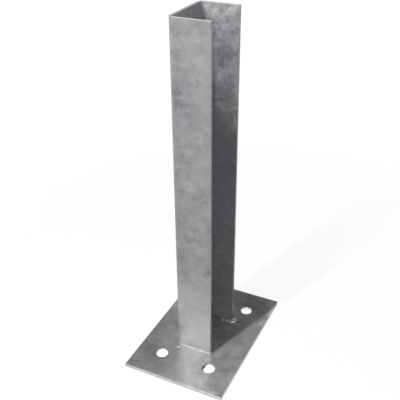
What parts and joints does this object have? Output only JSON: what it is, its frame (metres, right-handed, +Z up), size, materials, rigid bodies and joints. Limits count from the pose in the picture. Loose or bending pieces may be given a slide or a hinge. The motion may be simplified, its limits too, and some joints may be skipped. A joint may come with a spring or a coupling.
{
  "type": "column base plate",
  "caption": "Flat steel base plate with anchor holes and a tall upright folded channel that a hollow post slides over.",
  "frame": {"origin": "centre of the underside of the plate", "axes": "+X along the plate's short side towards the channel's open mouth, +Y along its long side, +Z up along the channel"},
  "size_m": [0.16, 0.24, 0.515],
  "materials": {
    "plate_zinc": "hot-dip galvanised, smooth satin zinc with faint spangle",
    "channel_zinc": "hot-dip galvanised, smooth satin zinc with soft spangle",
    "weld_zinc": "rippled weld bead under hot-dip zinc"
  },
  "bodies": {
    "root": {"base_plate": "plate_zinc", "channel_post": "channel_zinc", "weld_back": "weld_zinc", "weld_front": "weld_zinc", "weld_web": "weld_zinc"}
  },
  "joints": []
}
